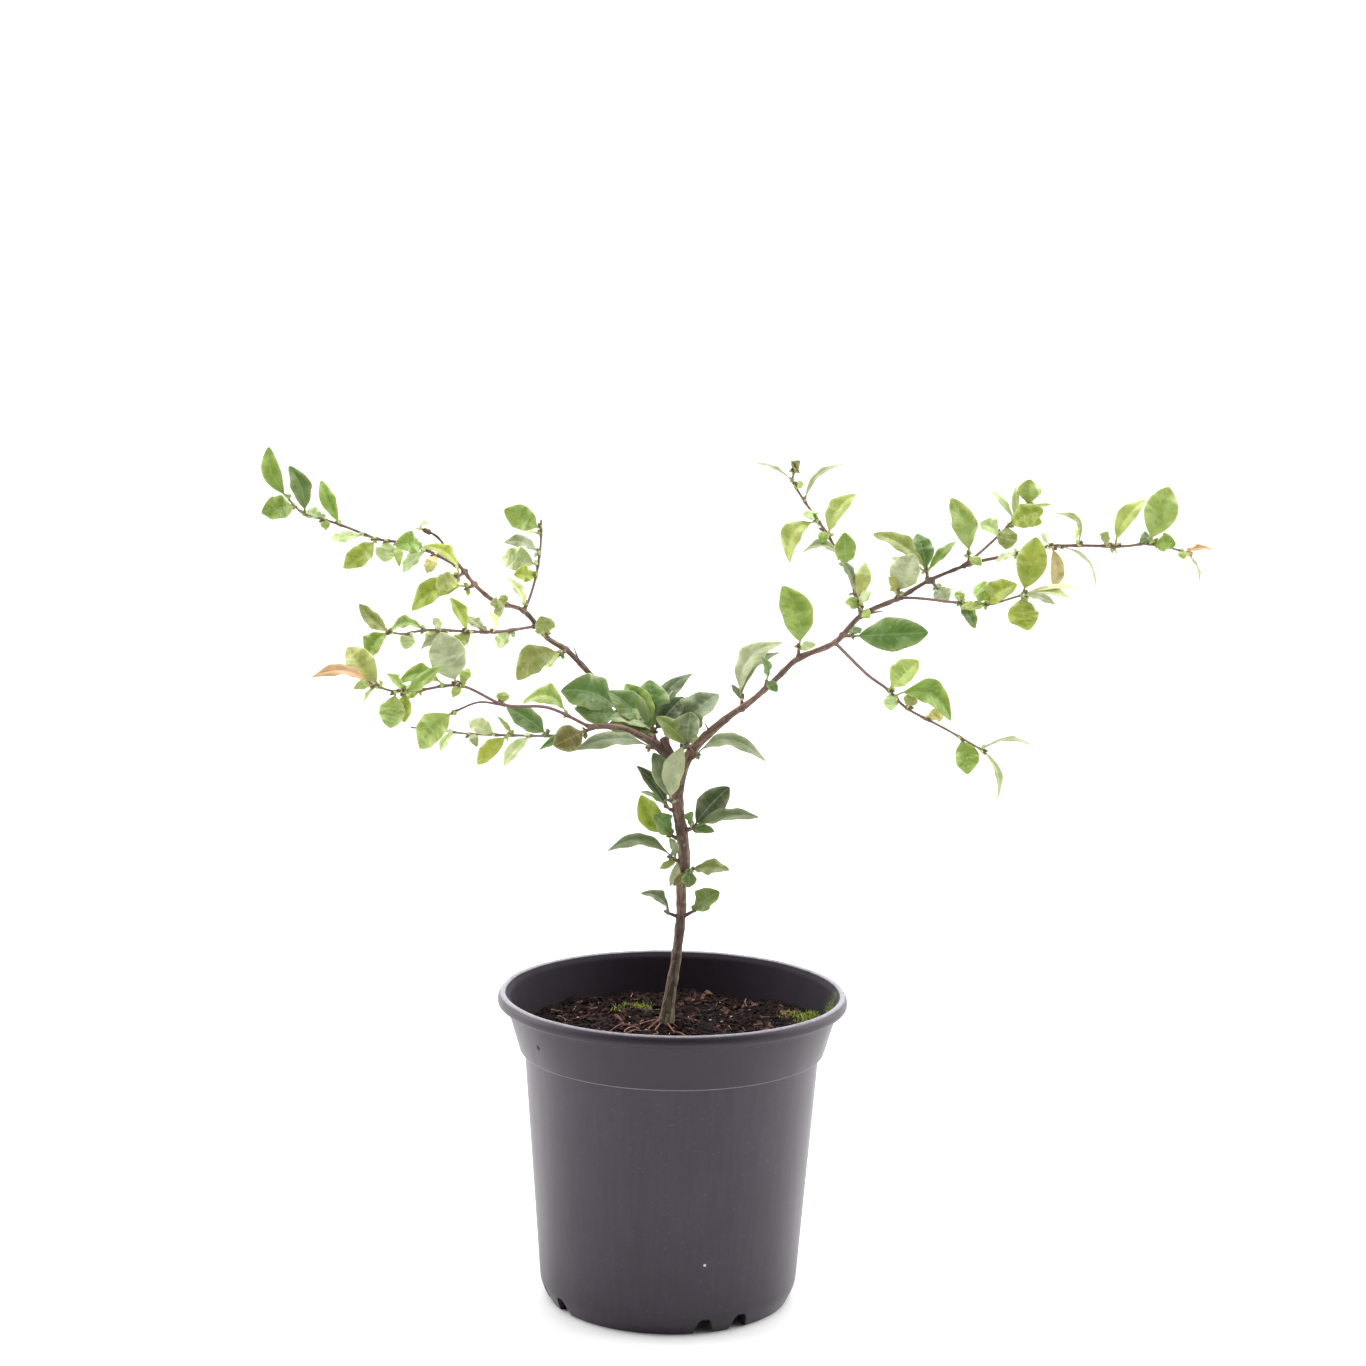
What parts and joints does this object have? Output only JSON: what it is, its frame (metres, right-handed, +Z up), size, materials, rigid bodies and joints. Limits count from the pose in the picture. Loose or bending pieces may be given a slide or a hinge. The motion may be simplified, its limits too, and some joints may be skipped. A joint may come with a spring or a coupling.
{
  "type": "young flowering quince bonsai in its nursery pot",
  "caption": "Small leafy flowering quince grown as a bonsai, with a crooked trunk and spreading leafy shoots, rooted in a filled round nursery pot.",
  "frame": {"origin": "centre of the flat pad on the pot's underside", "axes": "+Z up along the pot's axis, +X to the right and -Y towards the viewer of the picture"},
  "size_m": [0.4028, 0.1505, 0.3617],
  "materials": {
    "pot_plastic": "satin",
    "soil": "rough",
    "bark": "rough",
    "leaf_fresh": "satin",
    "leaf_pale": "satin",
    "leaf_bright": "satin",
    "leaf_dull": "satin",
    "leaf_deep": "satin",
    "leaf_grey": "satin"
  },
  "bodies": {
    "root": {"pot": "pot_plastic", "soil": "soil", "old_wood": "bark", "far_left_shoot": "leaf_fresh", "left_tip_leaves": "leaf_pale", "left_limb_bright_leaves": "leaf_bright", "left_fan_leaf": "leaf_bright", "left_bud_leaves": "leaf_dull", "upright_left_shoot": "leaf_fresh", "left_hugging_leaf": "leaf_dull", "left_folded_leaf": "leaf_dull", "middle_left_shoot": "leaf_fresh", "front_left_shoot": "leaf_fresh", "low_left_shoot": "leaf_fresh", "crown_outer_leaf": "leaf_deep", "crown_left_leaves": "leaf_deep", "crown_arching_leaf": "leaf_grey", "crown_pointed_leaf": "leaf_deep", "crown_right_leaves": "leaf_grey", "crown_front_leaves": "leaf_deep", "crown_right_arching_leaf": "leaf_grey", "trunk_front_leaves": "leaf_grey", "trunk_dark_narrow_leaves": "leaf_deep", "trunk_bright_leaf": "leaf_bright", "trunk_round_leaves": "leaf_deep", "trunk_left_leaf": "leaf_grey", "trunk_flat_leaves": "leaf_dull", "trunk_low_left_leaf": "leaf_grey", "trunk_low_right_leaf": "leaf_bright", "right_pair_leaves": "leaf_grey", "right_small_dark_leaves": "leaf_deep", "right_large_leaf": "leaf_fresh", "right_broad_leaf": "leaf_deep", "right_pale_leaves": "leaf_pale", "right_dark_leaves": "leaf_deep", "right_under_leaf": "leaf_deep", "right_oblong_leaf": "leaf_fresh", "right_upright_shoot": "leaf_fresh", "right_hanging_shoot": "leaf_fresh", "right_low_shoot": "leaf_fresh", "right_top_shoot": "leaf_fresh", "right_tip_shoot": "leaf_fresh"}
  },
  "joints": []
}
